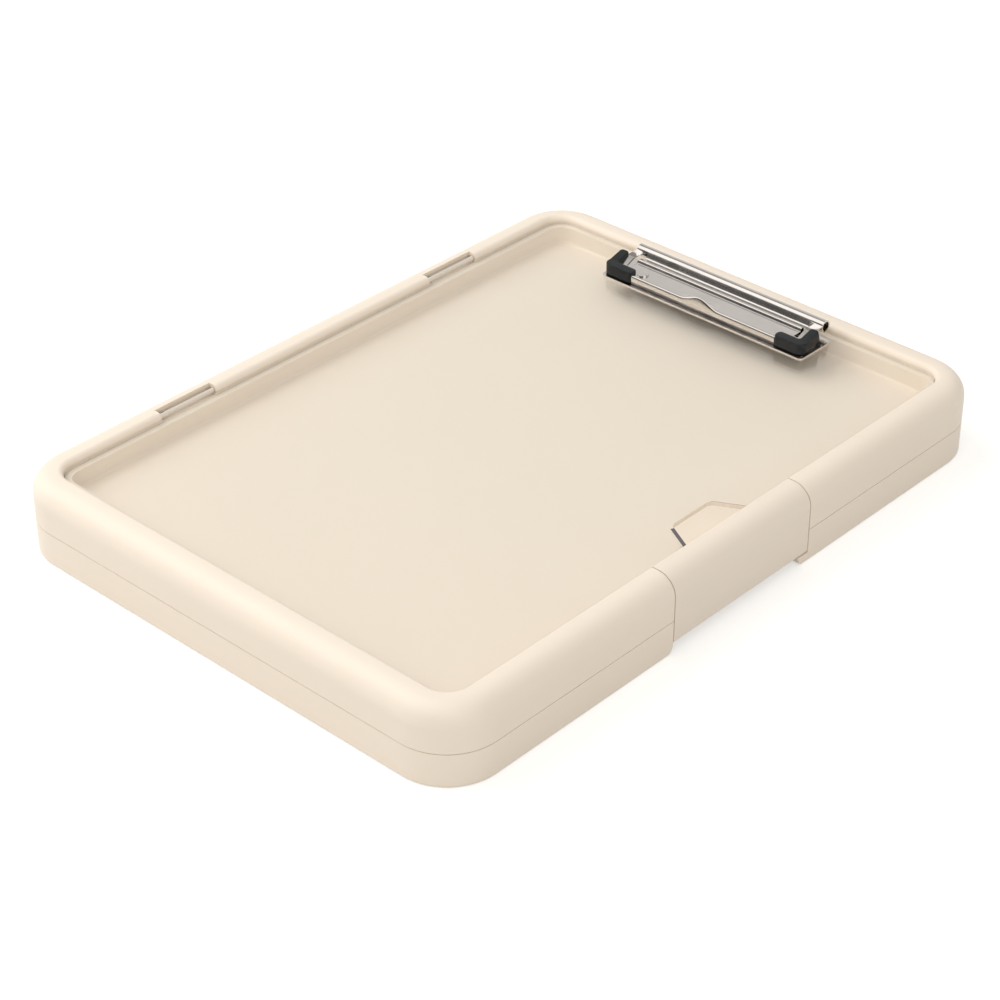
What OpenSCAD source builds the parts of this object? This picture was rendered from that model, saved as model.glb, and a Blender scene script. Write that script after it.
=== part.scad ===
// Storage clipboard box: a two-shell case with a clear hinged writing lid, a shallow
// tray under the lid, a deep compartment between the shells, a side latch and a
// low-profile spring clip.
//
// Units are mm. +Z is up, +X is the latch side, +Y is the clip end.
// The origin is the centre of the case outline, on the face it rests on.

/* [Case] */

// case width across the short side, without the hinge knuckles
case_width = 252; // [200:320]
// case length along the long side
case_length = 341; // [280:420]
// total case height
case_height = 36; // [30:50]
// height of the parting line between the two shells
parting_height = 16; // [12:24]
// plan radius of the outer corners
corner_radius = 25; // [16:35]
// rounding of the top outer edge
top_edge_radius = 9; // [6:12]
// rounding of the bottom outer edge
bottom_edge_radius = 1.5; // [1:4]
// wall of both shells
shell_wall = 2.2; // [1.6:3]

/* [Tray and rim] */

// width of the raised rim on the long sides
rim_side_width = 13.5; // [10:20]
// width of the raised rim on the short sides
rim_end_width = 14; // [10:20]
// plan radius of the opening in the rim
opening_radius = 10; // [6:16]
// rounding of the inner rim edge
rim_inner_radius = 2.5; // [1.5:3]
// width of the ledge that carries the lid
ledge_width = 3.3; // [2:5]
// height of the tray floor
tray_floor_height = 22.7; // [20:26]
// thickness of the tray floor
tray_floor_thickness = 2; // [1.5:3]
// fillet between tray floor and tray wall
tray_fillet = 1.2; // [0.8:4]

/* [Lid] */

// depth of the lid face below the rim
lid_depth = 3; // [2:4]
// thickness of the clear lid
lid_thickness = 2; // [1.5:3]
// distance of each hinge tab from the middle of the long side
lid_tab_offset = 82; // [50:110]
// length of each hinge tab
lid_tab_length = 30; // [18:50]
// radius of the tab barrels
lid_barrel_radius = 1.6; // [1.5:2]
// radius of the lid pins
lid_pin_radius = 0.7; // [0.5:0.9]
// length of each lid pin
lid_pin_length = 5.4; // [4:8]
// half width of the finger notch at the lid edge
notch_outer_half = 19.7; // [14:26]
// half width of the finger notch at its inner end
notch_inner_half = 12; // [8:18]
// depth of the finger notch
notch_depth = 14.5; // [8:20]
// rounding of the notch corners
notch_radius = 4; // [1:7]

/* [Shell hinge] */

// distance of each hinge from the middle of the long side
hinge_offset = 95; // [60:125]
// radius of the hinge knuckles
knuckle_radius = 3.2; // [2.6:4]
// length of each outer knuckle
outer_knuckle_length = 14; // [10:20]
// length of the middle knuckle
middle_knuckle_length = 20; // [12:30]
// radius of the hinge pins
hinge_pin_radius = 1.2; // [0.8:1.5]

/* [Latch] */

// latch width along the long side
latch_width = 86; // [50:110]
// latch thickness
latch_thickness = 2.4; // [2:3]
// height of the lower latch edge
latch_lower_edge = 5; // [3:9]
// radius of the latch pin
latch_pin_radius = 1; // [0.8:1.3]
// length of latch pin held in each end of the rim
latch_pin_seat = 4; // [3:8]
// height of the grip rib inside the latch
latch_rib_height = 11; // [9:14]
// width of the grip rib
latch_rib_width = 3; // [2:5]
// depth of the finger recess under the latch
finger_depth = 8; // [5:14]
// height of the finger recess
finger_height = 9; // [7:12]
// distance from the latch's middle to the rear end of the finger recess
finger_rear = 37; // [34:43]
// rounding of the case corners beside the finger recess
finger_corner_radius = 5; // [4:9]

/* [Clip] */

// sideways position of the clip
clip_x = -1; // [-5:5]
// half width of the clip base plate
clip_half_width = 58.2; // [40:70]
// distance from the clip base plate to the rear rim
clip_margin = 8; // [4:20]
// depth of the clip base plate
clip_depth = 22.5; // [18:30]
// thickness of the clip base plate
clip_base_thickness = 1; // [0.8:1.5]
// radius of the small holes in the front corners of the base plate
corner_hole_radius = 0.45; // [0.3:0.8]
// distance of the corner holes from the front of the base plate
corner_hole_setback = 2.4; // [2:4]
// thickness of the jaw sheet
jaw_sheet = 0.7; // [0.5:1]
// outer radius of the bend between jaw plate and lip
lip_bend = 1; // [0.8:1.4]
// distance from base plate front to jaw lip
jaw_setback = 2.05; // [1:4]
// height of the jaw top above the base plate
jaw_height = 4.3; // [3.5:6]
// half width of the jaw plate
jaw_half_width = 47.5; // [30:55]
// half width of the rolled lever
lever_half_width = 54; // [35:60]
// outer radius of the rolled lever
lever_radius = 2.9; // [2:3.2]
// open seam of the rolled lever
lever_seam = 1.2; // [0.6:2]
// direction of the seam, from the rear side over the top
seam_angle = 232; // [226:250]
// distance from the jaw lip to the middle of the lever
lever_setback = 21.35; // [18:26]
// half width of the stiffening bead across the jaw
bead_radius = 0.95; // [0.8:1.2]
// height of the bead above the jaw plate
bead_height = 1.6; // [1.2:2]
// length of the sloping front of the bead
bead_slope = 0.5; // [0.2:1]
// distance from the jaw lip to the middle of the bead
bead_setback = 12.85; // [10:14]
// height of the lever axis above the jaw plate
lever_height = 1.1; // [0.8:1.4]
// rise of the side straps from the jaw plate to the lever
strap_rise = 2.1; // [1:2.4]
// length over which the side straps rise
strap_run = 5; // [3:7]
// sideways position of the arch on the jaw
arch_x = -2.1; // [-10:10]
// half width of the arch in the jaw lip
arch_half_width = 10.6; // [6:20]
// height of the arch above the jaw top
arch_height = 3; // [1:3.2]
// length over which the arch fades into the jaw plate
arch_run = 5; // [4:10]
// radius of the stamped pip beside the left cap
pip_radius = 2.8; // [1:4]
// height of the stamped pip
pip_height = 0.6; // [0.3:0.8]
// distance from the jaw lip to the middle of the pip
pip_setback = 4.6; // [3:8]
// radius of the clip axle
axle_radius = 0.9; // [0.6:1.1]
// height of the axle above the base plate
axle_height = 1.7; // [1.7:2.4]
// distance from the jaw lip to the axle
axle_setback = 15.15; // [14:17]
// radius of the axle heads
axle_head_radius = 1.4; // [1:1.8]
// length of the axle heads
axle_head_length = 0.6; // [0.4:0.9]
// thickness of the ears that carry the axle
ear_thickness = 1; // [0.6:1.5]
// radius of the ears around the axle
ear_radius = 2.7; // [2.2:2.8]
// how far the foot of each ear reaches in front of it
ear_foot = 2.5; // [0:4]
// room beside the ears in the slots of the jaw
ear_room = 0.6; // [0.5:1.2]
// wire radius of the spring
spring_wire = 0.3; // [0.2:0.35]
// number of spring coils
spring_coils = 16; // [6:30]
// length of the spring legs behind the axle
spring_leg = 3.6; // [3:4.5]
// distance of each rivet from the clip middle
rivet_offset = 30; // [15:40]
// radius of the rivet shanks
rivet_radius = 1.75; // [1:2.5]
// radius of the rivet heads
rivet_head_radius = 3.4; // [2.5:4.5]
// height of the rivet heads
rivet_head_height = 1.1; // [0.8:1.4]
// distance from the jaw lip to the rivets
rivet_setback = 8.6; // [7:10]
// thickness of the washers under the lid
washer_thickness = 0.6; // [0.4:1]
// width of the washers outside the rivet heads
washer_margin = 1.2; // [0.8:2]

/* [Jaw caps] */

// outer half width over the caps
cap_outer = 57.2; // [55:58]
// inner end of the front arm
cap_inner = 41.4; // [30:46]
// width of the front arm
cap_front_width = 5; // [4:7]
// width of the side arm
cap_side_width = 4.7; // [4:6]
// length of the side arm along its top
cap_length = 13.2; // [12:15]
// slant of the rear end of the side arm
cap_slant = 1.4; // [0:2]
// rise of the side arm at its rear end
cap_rise = 2.2; // [1:3]
// how far the caps stand in front of the jaw lip
cap_proud = 0.6; // [0.3:1]
// height of the caps
cap_height = 5.4; // [4:6]
// plan radius of the cap corner
cap_corner = 3.6; // [1.5:4]
// plan radius of the inner end of the front arm
cap_end_radius = 2; // [1:2.4]

/* [Fits] */

// radial clearance of running pins
running_clearance = 0.05; // [0.01:0.1]
// clearance around moving parts
moving_clearance = 0.4; // [0.3:0.8]
// gap between parts that rest on each other
rest_gap = 0.3; // [0.2:0.6]
// end clearance of the latch and of the lid tabs
end_clearance = 0.6; // [0.4:1]

/* [Hidden] */

$fn = 96;

// case
half_x = case_width / 2;
half_y = case_length / 2;
open_x = half_x - rim_side_width;
open_y = half_y - rim_end_width;
wall_x = open_x - ledge_width;
wall_y = open_y - ledge_width;
lid_top = case_height - lid_depth;
lid_bottom = lid_top - lid_thickness;
ledge_top = lid_bottom - rest_gap;
tray_under = tray_floor_height - tray_floor_thickness;
lower_top = parting_height - rest_gap / 2;
upper_bottom = parting_height + rest_gap / 2;
cut = 1;

// pivots on the inner rim edge, at the centre of its rounding
rim_pivot_z = case_height - rim_inner_radius;
lid_pivot_x = -(open_x + rim_inner_radius);
latch_pivot_x = open_x + rim_inner_radius;
lid_socket_radius = lid_barrel_radius + moving_clearance;
lid_slot_half = lid_tab_length / 2 + end_clearance;
lid_boss_half = lid_slot_half + lid_pin_length / 2 + shell_wall / 2;

// shell hinge
knuckle_gap = moving_clearance;
knuckle_pocket = knuckle_radius + moving_clearance;
knuckle_liner = knuckle_pocket + 0.75 * shell_wall;
hinge_span = middle_knuckle_length + 2 * (outer_knuckle_length + knuckle_gap);

// latch
latch_half = latch_width / 2;
latch_slot_half = latch_half + end_clearance;
latch_back = half_x - latch_thickness;
recess_back = latch_back - moving_clearance;
recess_depth = latch_thickness + moving_clearance;
latch_liner = 0.9 * shell_wall;
rib_depth = 0.75 * moving_clearance;

// lid notch
notch_angle = atan2(notch_outer_half - notch_inner_half, notch_depth);
notch_x = open_x - notch_depth;
notch_centre_y = notch_inner_half
    - notch_radius * (1 - sin(notch_angle)) / cos(notch_angle);

// clip, heights from the lid face
clip_front = open_y - clip_margin - clip_depth;
base_top = lid_top + clip_base_thickness;
jaw_top = base_top + jaw_height;
jaw_under = jaw_top - jaw_sheet;
jaw_front = clip_front + jaw_setback;
lip_bottom = base_top + rest_gap;
bead_y = jaw_front + bead_setback;
lever_y = jaw_front + lever_setback;
lever_z = jaw_top + lever_height;
axle_y = jaw_front + axle_setback;
axle_z = base_top + axle_height;
slot_inner = jaw_half_width;
slot_outer = slot_inner + ear_thickness + 2 * ear_room;
ear_x = slot_inner + ear_room;
slot_front = jaw_front + cap_front_width + cap_end_radius * 0.75;
strap_top = jaw_top + strap_rise;
saddle_rear = lever_y - lever_radius + 0.9 * jaw_sheet;
plate_rear = lever_y - lever_radius + 1.3 * jaw_sheet;
cap_front = jaw_front - cap_proud;
cap_top = lip_bottom + cap_height;
cap_rear = cap_front + cap_length;
flange_outer = jaw_half_width - jaw_sheet / 2;
flange_radius = axle_height - rest_gap;
arch_radius = (pow(arch_half_width, 2) + pow(arch_height, 2)) / (2 * arch_height);
arch_tilt = atan2(arch_height, arch_run);
coil_radius = axle_radius + running_clearance + spring_wire * 1.2;
spring_pitch = 2 * spring_wire * 0.98;
spring_half = spring_pitch * (spring_coils - 1) / 2;
pip_x = -(cap_inner - pip_radius - rest_gap);
pip_y = jaw_front + pip_setback;
rivet_y = jaw_front + rivet_setback;
washer_radius = rivet_head_radius + washer_margin;

// ---------- shared shapes ----------

module edge_corner(radius)
    difference() {
        square(radius + cut);
        circle(radius);
    }

// section of a slab: flat sides, rounded top and bottom edges
module slab_section(width, height, top_r, bottom_r)
    difference() {
        translate([-width / 2, 0])
            square([width, height]);
        for (side = [0, 1])
            mirror([side, 0]) {
                if (top_r > 0)
                    translate([width / 2 - top_r, height - top_r])
                        edge_corner(top_r);
                if (bottom_r > 0)
                    translate([width / 2 - bottom_r, bottom_r])
                        mirror([0, 1])
                            edge_corner(bottom_r);
            }
    }

// rounded rectangle slab, standing on z = 0
module slab(size_x, size_y, height, corner_r, top_r = 0, bottom_r = 0) {
    rotate([90, 0, 0])
        linear_extrude(size_y - 2 * corner_r, center = true)
            slab_section(size_x, height, top_r, bottom_r);
    rotate([90, 0, 90])
        linear_extrude(size_x - 2 * corner_r, center = true)
            slab_section(size_y, height, top_r, bottom_r);
    for (quarter = [0 : 3])
        translate([
            (quarter == 0 || quarter == 3 ? 1 : -1) * (size_x / 2 - corner_r),
            (quarter < 2 ? 1 : -1) * (size_y / 2 - corner_r),
            0])
            rotate(90 * quarter)
                rotate_extrude(angle = 90)
                    intersection() {
                        slab_section(2 * corner_r, height, top_r, bottom_r);
                        square([corner_r, height]);
                    }
}

// ring that takes the edge off a rounded opening, its top at z = 0
module opening_edge(size_x, size_y, corner_r, edge_r) {
    for (side = [0, 1])
        mirror([side, 0, 0]) {
            translate([size_x / 2 + edge_r, 0, -edge_r])
                rotate([90, 0, 0])
                    linear_extrude(size_y - 2 * corner_r, center = true)
                        mirror([1, 0])
                            edge_corner(edge_r);
            for (end = [0, 1])
                mirror([0, end, 0])
                    translate([size_x / 2 - corner_r, size_y / 2 - corner_r, -edge_r])
                        rotate_extrude(angle = 90)
                            translate([corner_r + edge_r, 0])
                                mirror([1, 0])
                                    edge_corner(edge_r);
        }
    for (end = [0, 1])
        mirror([0, end, 0])
            translate([0, size_y / 2 + edge_r, -edge_r])
                rotate([90, 0, 90])
                    linear_extrude(size_x - 2 * corner_r, center = true)
                        mirror([1, 0])
                            edge_corner(edge_r);
}

// rod along Y, centred
module rod_y(length, radius)
    rotate([90, 0, 0])
        cylinder(h = length, r = radius, center = true);

// rod along X, centred
module rod_x(length, radius)
    rotate([0, 90, 0])
        cylinder(h = length, r = radius, center = true);

// section in the X-Z plane, extruded along Y about y = 0
module along_y(length)
    rotate([90, 0, 0])
        linear_extrude(length, center = true)
            children();

// section in the Y-Z plane, extruded along X about x = 0
module along_x(length)
    rotate([90, 0, 90])
        linear_extrude(length, center = true)
            children();

// box from its low corner to its high corner
module span(low, high)
    translate(low)
        cube(high - low);

module case_body()
    slab(case_width, case_length, case_height, corner_radius,
        top_edge_radius, bottom_edge_radius);

module at_shell_hinges()
    for (side = [-1, 1])
        translate([-half_x, side * hinge_offset, parting_height])
            children();

module at_outer_knuckles()
    for (end = [-1, 1])
        translate([0, end * (middle_knuckle_length + outer_knuckle_length) / 2
            + end * knuckle_gap, 0])
            children();

module hinge_liner()
    at_shell_hinges()
        rod_y(hinge_span + 2 * shell_wall, knuckle_liner);

// ---------- latch ----------

// quarter-rounded block under the latch strip, in the X-Z plane
module latch_core(back, top, radius) {
    translate([0, -cut])
        square([back, top - radius + cut]);
    translate([0, -cut])
        square([back - radius, top + cut]);
    translate([back - radius, top - radius])
        circle(radius);
}

module latch_section() {
    difference() {
        intersection() {
            translate([latch_pivot_x, latch_lower_edge + latch_thickness / 2])
                square([half_x - latch_pivot_x, case_height]);
            slab_section(case_width, case_height, top_edge_radius, 0);
        }
        latch_core(latch_back, case_height - latch_thickness,
            top_edge_radius - latch_thickness);
    }
    translate([half_x - latch_thickness / 2, latch_lower_edge + latch_thickness / 2])
        circle(latch_thickness / 2);
    translate([latch_pivot_x, rim_pivot_z])
        circle(rim_inner_radius);
    translate([latch_back - rib_depth, latch_rib_height])
        square([rib_depth + latch_thickness / 2, latch_rib_width]);
}

// room for the latch in both shells, in the X-Z plane
module latch_recess_section() {
    difference() {
        translate([latch_pivot_x, latch_lower_edge - moving_clearance])
            square([half_x - latch_pivot_x + cut, case_height]);
        latch_core(recess_back, case_height - recess_depth,
            top_edge_radius - recess_depth);
    }
    translate([open_x - cut, rim_pivot_z])
        square([latch_pivot_x - open_x + cut, case_height]);
    translate([latch_pivot_x, rim_pivot_z])
        circle(rim_inner_radius + moving_clearance);
}

module latch_recess()
    along_y(2 * latch_slot_half)
        latch_recess_section();

// space under the rounded case corner at one end of the finger recess
module finger_corner()
    difference() {
        translate([-cut, -cut])
            square([finger_corner_radius + cut, finger_corner_radius + cut]);
        translate([finger_corner_radius, finger_corner_radius])
            circle(finger_corner_radius);
    }

// finger recess under the latch, with the case corners beside it rounded
module finger_recess()
    translate([half_x - finger_depth, 0, 0])
        rotate([90, 0, 90])
            linear_extrude(finger_depth + cut) {
                translate([-latch_slot_half, -cut])
                    square([latch_slot_half + finger_rear, finger_height + cut]);
                translate([finger_rear, 0])
                    finger_corner();
                translate([-latch_slot_half, 0])
                    mirror([1, 0])
                        finger_corner();
            }

module latch()
    color("#efe1cc")
        difference() {
            along_y(latch_width)
                latch_section();
            translate([latch_pivot_x, 0, rim_pivot_z])
                rod_y(latch_width + cut, latch_pin_radius + running_clearance);
        }

module latch_pin()
    color("#b9bcc0")
        translate([latch_pivot_x, 0, rim_pivot_z])
            rod_y(2 * (latch_slot_half + latch_pin_seat), latch_pin_radius);

// ---------- shells ----------

module lower_cavity()
    difference() {
        translate([0, 0, shell_wall])
            slab(case_width - 2 * shell_wall, case_length - 2 * shell_wall,
                parting_height, corner_radius - shell_wall);
        hinge_liner();
        span([recess_back - latch_liner, -latch_slot_half - latch_liner, 0],
            [half_x, latch_slot_half + latch_liner, parting_height + cut]);
        span([half_x - finger_depth - latch_liner,
                -latch_slot_half - finger_corner_radius - latch_liner, 0],
            [half_x, latch_slot_half + finger_corner_radius + latch_liner,
                finger_height + latch_liner]);
    }

module lower_shell()
    color("#f1e4d4")
        difference() {
            union() {
                intersection() {
                    case_body();
                    span([-half_x, -half_y, 0], [half_x, half_y, lower_top]);
                }
                at_shell_hinges()
                    at_outer_knuckles()
                        rod_y(outer_knuckle_length, knuckle_radius);
            }
            difference() {
                lower_cavity();
                at_shell_hinges()
                    at_outer_knuckles()
                        rod_y(outer_knuckle_length, knuckle_radius);
            }
            at_shell_hinges() {
                rod_y(middle_knuckle_length + 2 * knuckle_gap, knuckle_pocket);
                rod_y(hinge_span + cut, hinge_pin_radius + running_clearance);
            }
            latch_recess();
            finger_recess();
        }

// hollow under the tray and inside the rim
module upper_hollow()
    difference() {
        slab(case_width - 2 * shell_wall, case_length - 2 * shell_wall,
            case_height - shell_wall, corner_radius - shell_wall,
            top_edge_radius - shell_wall, 0);
        translate([0, 0, tray_under])
            slab(2 * (wall_x + shell_wall), 2 * (wall_y + shell_wall),
                case_height, opening_radius - ledge_width + shell_wall);
        translate([0, 0, ledge_top - shell_wall])
            slab(2 * (open_x + shell_wall), 2 * (open_y + shell_wall),
                case_height, opening_radius + shell_wall);
        hinge_liner();
        span([wall_x, -latch_slot_half - latch_pin_seat - latch_liner,
                ledge_top - shell_wall],
            [half_x, latch_slot_half + latch_pin_seat + latch_liner, case_height]);
        span([recess_back - latch_liner, -latch_slot_half - latch_liner, 0],
            [half_x, latch_slot_half + latch_liner, case_height]);
        for (side = [-1, 1])
            span([lid_pivot_x - lid_socket_radius - shell_wall,
                    side * lid_tab_offset - lid_boss_half, ledge_top - shell_wall],
                [-wall_x, side * lid_tab_offset + lid_boss_half, case_height]);
    }

module lid_tab_slots()
    for (side = [-1, 1])
        translate([0, side * lid_tab_offset, 0]) {
            span([lid_pivot_x, -lid_slot_half, ledge_top],
                [-open_x + cut, lid_slot_half, case_height + cut]);
            span([lid_pivot_x - lid_socket_radius, -lid_slot_half, rim_pivot_z],
                [lid_pivot_x + cut, lid_slot_half, case_height + cut]);
            translate([lid_pivot_x, 0, rim_pivot_z])
                rod_y(2 * lid_slot_half, lid_socket_radius);
        }

module upper_shell()
    color("#f5e9da")
        difference() {
            union() {
                difference() {
                    intersection() {
                        case_body();
                        span([-half_x, -half_y, upper_bottom],
                            [half_x, half_y, case_height]);
                    }
                    upper_hollow();
                }
                at_shell_hinges()
                    rod_y(middle_knuckle_length, knuckle_radius);
            }
            translate([0, 0, ledge_top])
                slab(2 * open_x, 2 * open_y, case_height, opening_radius);
            translate([0, 0, case_height])
                opening_edge(2 * open_x, 2 * open_y, opening_radius,
                    rim_inner_radius);
            translate([0, 0, tray_floor_height])
                slab(2 * wall_x, 2 * wall_y, case_height,
                    opening_radius - ledge_width, 0, tray_fillet);
            at_shell_hinges() {
                at_outer_knuckles()
                    rod_y(outer_knuckle_length + 2 * knuckle_gap, knuckle_pocket);
                rod_y(middle_knuckle_length + cut,
                    hinge_pin_radius + running_clearance);
            }
            latch_recess();
            translate([latch_pivot_x, 0, rim_pivot_z])
                rod_y(2 * (latch_slot_half + latch_pin_seat) + 0.2,
                    latch_pin_radius + running_clearance);
            lid_tab_slots();
            for (side = [-1, 1])
                translate([lid_pivot_x, side * lid_tab_offset, rim_pivot_z])
                    rod_y(lid_tab_length + lid_pin_length + 0.2,
                        lid_pin_radius + running_clearance);
        }

module hinge_pin(side)
    color("#b9bcc0")
        translate([-half_x, side * hinge_offset, parting_height])
            rod_y(hinge_span, hinge_pin_radius);

module hinge_pin_front() hinge_pin(-1);

module hinge_pin_rear() hinge_pin(1);

// ---------- lid ----------

// finger notch in the lid edge, in plan
module notch_plan() {
    tangent_x = notch_x + notch_radius * (1 - sin(notch_angle));
    tangent_y = notch_centre_y + notch_radius * cos(notch_angle);
    far_y = notch_outer_half + cut * tan(notch_angle);
    polygon([
        [notch_x, -notch_centre_y],
        [notch_x, notch_centre_y],
        [tangent_x, tangent_y],
        [open_x + cut, far_y],
        [open_x + cut, -far_y],
        [tangent_x, -tangent_y]]);
    for (side = [-1, 1])
        translate([notch_x + notch_radius, side * notch_centre_y])
            circle(notch_radius);
}

module lid_tab()
    along_y(lid_tab_length) {
        translate([lid_pivot_x, rim_pivot_z])
            circle(lid_barrel_radius);
        translate([lid_pivot_x, rim_pivot_z - lid_barrel_radius])
            square([rim_inner_radius + 2 * rest_gap,
                lid_barrel_radius - (rim_pivot_z - lid_top)]);
    }

module rivet_holes(radius)
    for (side = [-1, 1])
        translate([clip_x + side * rivet_offset, rivet_y, lid_bottom - cut])
            cylinder(h = lid_thickness + clip_base_thickness + 2 * cut, r = radius);

module lid_panel()
    color("#e9f0ee80")
        difference() {
            union() {
                translate([0, 0, lid_bottom])
                    slab(2 * (open_x - rest_gap), 2 * (open_y - rest_gap),
                        lid_thickness, opening_radius - rest_gap);
                for (side = [-1, 1])
                    translate([0, side * lid_tab_offset, 0])
                        lid_tab();
            }
            translate([0, 0, lid_bottom - cut])
                linear_extrude(lid_thickness + 2 * cut)
                    notch_plan();
            for (side = [-1, 1])
                translate([lid_pivot_x, side * lid_tab_offset, rim_pivot_z])
                    for (end = [-1, 1])
                        translate([0, end * lid_tab_length / 2, 0])
                            rod_y(lid_pin_length + 0.2,
                                lid_pin_radius + running_clearance);
            rivet_holes(rivet_radius + running_clearance);
        }

module lid_pin(side, end)
    color("#8f9296")
        translate([lid_pivot_x,
            side * lid_tab_offset + end * (lid_tab_length + end_clearance) / 2,
            rim_pivot_z])
            rod_y(lid_pin_length - end_clearance, lid_pin_radius);

module lid_pin_front_outer() lid_pin(-1, -1);

module lid_pin_front_inner() lid_pin(-1, 1);

module lid_pin_rear_inner() lid_pin(1, -1);

module lid_pin_rear_outer() lid_pin(1, 1);

// ---------- clip ----------

module clip_ear_section()
    difference() {
        union() {
            translate([axle_y, axle_z])
                circle(ear_radius);
            translate([axle_y - ear_radius - ear_foot,
                base_top - clip_base_thickness / 2])
                square([2 * ear_radius + ear_foot,
                    axle_height + clip_base_thickness / 2]);
        }
        translate([axle_y - 2 * ear_radius, base_top - cut - ear_radius])
            square([4 * ear_radius, ear_radius + cut - clip_base_thickness / 2]);
        translate([axle_y, axle_z])
            circle(axle_radius + running_clearance);
    }

module clip_base()
    color("#d5d6d8")
        difference() {
            union() {
                translate([clip_x, clip_front + clip_depth / 2, lid_top])
                    slab(2 * clip_half_width, clip_depth, clip_base_thickness, 2);
                for (side = [-1, 1])
                    translate([clip_x + side * (ear_x + ear_thickness / 2), 0, 0])
                        along_x(ear_thickness)
                            clip_ear_section();
            }
            rivet_holes(rivet_radius + running_clearance);
            for (side = [-1, 1])
                translate([clip_x + side * (clip_half_width - corner_hole_setback / 2),
                    clip_front + corner_hole_setback, lid_top - cut])
                    cylinder(h = clip_base_thickness + 2 * cut,
                        r = corner_hole_radius);
        }

// folded front lip of the jaw, in the Y-Z plane
module jaw_lip_section() {
    translate([jaw_front, lip_bottom])
        square([jaw_sheet, jaw_top - lip_bend - lip_bottom]);
    translate([jaw_front + lip_bend, jaw_top - lip_bend])
        intersection() {
            difference() {
                circle(lip_bend);
                circle(lip_bend - jaw_sheet);
            }
            translate([-lip_bend, 0])
                square([lip_bend + jaw_sheet, lip_bend]);
        }
}

// round-topped bead with a sloping front, in the Y-Z plane
module bead_section() {
    crown = bead_height - bead_radius;
    difference() {
        union() {
            translate([0, crown])
                circle(bead_radius);
            polygon([
                [-bead_radius - bead_slope, 0],
                [-bead_radius * cos(45), crown + bead_radius * sin(45)],
                [bead_radius, crown],
                [bead_radius, -jaw_sheet],
                [-bead_radius - bead_slope, -jaw_sheet]]);
        }
        translate([0, crown])
            circle(bead_radius - jaw_sheet);
        translate([jaw_sheet - bead_radius, -2 * jaw_sheet])
            square([2 * (bead_radius - jaw_sheet), crown + 2 * jaw_sheet]);
    }
}

// jaw plate from the lip to the lever, in the Y-Z plane
module jaw_plate_section() {
    difference() {
        translate([jaw_front + lip_bend, jaw_under])
            square([plate_rear - jaw_front - lip_bend, jaw_sheet]);
        translate([bead_y - bead_radius, jaw_under - cut])
            square([2 * bead_radius, jaw_sheet + 2 * cut]);
    }
    translate([bead_y, jaw_top])
        bead_section();
}

// rolled lever with its open seam, in the Y-Z plane
module lever_section()
    translate([lever_y, lever_z])
        difference() {
            circle(lever_radius);
            circle(lever_radius - jaw_sheet);
            rotate(seam_angle)
                square([2 * lever_radius, lever_seam]);
        }

// side strap rising from the jaw plate to the lever, in the Y-Z plane
module strap_section(room) {
    bend_y = slot_front + strap_run;
    polygon([
        [jaw_front + lip_bend - room, jaw_under - room],
        [jaw_front + lip_bend - room, jaw_top + room],
        [slot_front, jaw_top + room],
        [bend_y, strap_top + room],
        [saddle_rear, strap_top + room],
        [saddle_rear, strap_top - jaw_sheet - room],
        [bend_y, strap_top - jaw_sheet - room],
        [slot_front, jaw_under - room]]);
}

// strap from the front corner of the jaw plate to the end of the lever
module jaw_strap(room) {
    span([cap_inner - cut, jaw_front + lip_bend - room, jaw_under - room],
        [lever_half_width + room, slot_front, jaw_top + room]);
    translate([(slot_outer + lever_half_width) / 2, 0, 0])
        along_x(lever_half_width - slot_outer + 2 * room)
            strap_section(room);
}

// tilted round body that shapes the arch in the jaw lip
module arch_body(radius)
    translate([arch_x, jaw_front, jaw_top + arch_height])
        rotate([-arch_tilt, 0, 0])
            translate([0, 0, -arch_radius])
                rod_y(4 * arch_run, radius);

module jaw_flange_section()
    difference() {
        union() {
            circle(flange_radius);
            translate([-flange_radius, 0])
                square([2 * flange_radius, jaw_top - axle_z - jaw_sheet / 2]);
        }
        circle(axle_radius + running_clearance);
    }

module clip_jaw()
    color("#c9cacc")
        translate([clip_x, 0, 0]) {
            difference() {
                union() {
                    along_x(2 * cap_inner)
                        jaw_lip_section();
                    along_x(2 * jaw_half_width)
                        jaw_plate_section();
                    for (side = [0, 1])
                        mirror([side, 0, 0])
                            jaw_strap(0);
                    intersection() {
                        span([arch_x - arch_half_width, jaw_front, jaw_under],
                            [arch_x + arch_half_width, jaw_front + arch_run,
                                jaw_top + arch_height]);
                        arch_body(arch_radius);
                    }
                }
                intersection() {
                    span([arch_x - arch_half_width, jaw_front + jaw_sheet,
                            jaw_under - lip_bend],
                        [arch_x + arch_half_width, jaw_front + arch_run,
                            jaw_top + arch_height]);
                    arch_body(arch_radius - jaw_sheet);
                }
            }
            along_x(2 * lever_half_width)
                lever_section();
            for (side = [-1, 1])
                translate([side * (flange_outer - jaw_sheet / 2), axle_y, axle_z])
                    along_x(jaw_sheet)
                        jaw_flange_section();
            translate([pip_x, pip_y, jaw_top - jaw_sheet / 2])
                cylinder(h = pip_height + jaw_sheet / 2, r = pip_radius);
        }

module clip_axle()
    color("#a9acb0")
        translate([clip_x, axle_y, axle_z]) {
            rod_x(2 * (ear_x + ear_thickness), axle_radius);
            for (side = [-1, 1])
                translate([side * (ear_x + ear_thickness + axle_head_length / 2), 0, 0])
                    rod_x(axle_head_length, axle_head_radius);
        }

module clip_spring()
    color("#8f9296")
        translate([clip_x, axle_y, axle_z]) {
            for (coil = [0 : spring_coils - 1])
                translate([coil * spring_pitch - spring_half, 0, 0])
                    rotate([0, 90, 0])
                        rotate_extrude()
                            translate([coil_radius, 0])
                                circle(spring_wire);
            for (side = [-1, 1])
                translate([side * spring_half, spring_leg / 2, side * coil_radius])
                    rod_y(spring_leg, spring_wire);
        }

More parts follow.
